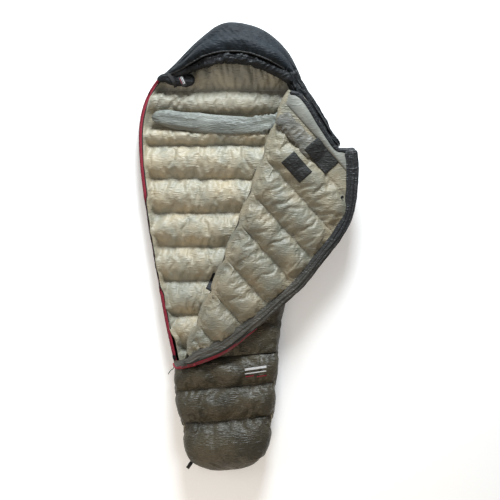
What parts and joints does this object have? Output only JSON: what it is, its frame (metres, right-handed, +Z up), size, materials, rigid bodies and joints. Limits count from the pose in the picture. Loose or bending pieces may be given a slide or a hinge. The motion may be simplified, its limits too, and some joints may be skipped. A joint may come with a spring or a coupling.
{
  "type": "mummy sleeping bag",
  "caption": "Quilted down mummy sleeping bag lying on its back, unzipped, with the front panel folded open as a flap, a padded hood, a draft collar and a long side zip",
  "frame": {"origin": "middle of the bag's plan, on the floor it lies on", "axes": "+Y towards the hood, +X towards the side the flap is folded to, +Z up"},
  "size_m": [1.0494, 2.1541, 0.1725],
  "materials": {
    "shell_fabric": "matte ripstop nylon",
    "foot_fabric": "coated ripstop nylon",
    "lining_fabric": "soft taffeta",
    "collar_fabric": "soft taffeta",
    "down": "loose down",
    "mesh": "thin mesh",
    "dark_patch": "woven nylon",
    "label_fabric": "woven label",
    "zip_tape": "woven tape",
    "zip_red": "woven tape",
    "zip_coil": "nylon coil",
    "zip_metal": "dark enamel",
    "cord": "braided cord"
  },
  "bodies": {
    "bag": {"back_baffle_walls": "mesh", "back_collar": "collar_fabric", "back_down_01": "down", "back_down_02": "down", "back_down_03": "down", "back_down_04": "down", "back_down_05": "down", "back_down_06": "down", "back_down_07": "down", "back_down_08": "down", "back_lining": "lining_fabric", "back_outer_shell": "shell_fabric", "body_zip_coil": "zip_coil", "body_zip_guard": "zip_tape", "body_zip_tape": "zip_red", "closure_strap": "dark_patch", "foot_down_01": "down", "foot_down_02": "down", "foot_down_03": "down", "foot_hang_loop": "dark_patch", "foot_outer_shell": "foot_fabric", "footbox_end_panel": "foot_fabric", "front_baffle_walls": "mesh", "front_lining": "lining_fabric", "front_upper_down_01": "down", "front_upper_down_02": "down", "front_upper_shell": "foot_fabric", "garage_label": "label_fabric", "left_side_panel": "foot_fabric", "neck_side_roll": "shell_fabric", "right_side_panel": "shell_fabric", "zip_bottom_stop": "zip_coil", "zip_garage": "shell_fabric", "zip_side_panel": "shell_fabric", "zip_top_stop": "zip_coil"},
    "flap": {"flap_outer_shell": "shell_fabric", "flap_lining": "lining_fabric", "flap_baffle_walls": "mesh", "flap_neck_down": "down", "flap_collar": "collar_fabric", "collar_patch": "dark_patch", "flap_pocket": "dark_patch", "press_stud": "zip_metal", "draft_tube": "shell_fabric", "flap_zip_tape": "zip_red", "flap_zip_coil": "zip_coil", "flap_zip_guard": "zip_tape", "flap_down_01": "down", "flap_down_02": "down", "flap_down_03": "down", "flap_down_04": "down"},
    "hood": {"hood_crown_shell": "shell_fabric", "hood_crown_down": "down", "hood_crown_lining": "lining_fabric", "hood_brim": "shell_fabric", "brim_drawcord": "cord"},
    "zip_slider": {"zip_slider": "zip_metal"},
    "zip_pull": {"zip_pull": "zip_metal", "zip_pull_cord": "cord"}
  },
  "joints": [
    {"name": "flap_fold", "type": "hinge", "parent": "bag", "child": "flap", "pos_m": [-0.0535, 0.0915, 0.122], "axis": [-0.3671, -0.9302, 0], "range_deg": [0, 180]},
    {"name": "hood_raise", "type": "hinge", "parent": "bag", "child": "hood", "pos_m": [-0.0675, 0.761, 0.075], "axis": [0.994, -0.1093, 0], "range_deg": [0, 50]},
    {"name": "zip_slide", "type": "slide", "parent": "bag", "child": "zip_slider", "axis": [-0.2066, 0.9784, 0], "range_m": [0, 0.09]},
    {"name": "zip_pull_swing", "type": "hinge", "parent": "zip_slider", "child": "zip_pull", "pos_m": [-0.35116, -0.53267, 0.0728], "axis": [-0.9784, -0.2066, 0], "range_deg": [0, 120]}
  ]
}
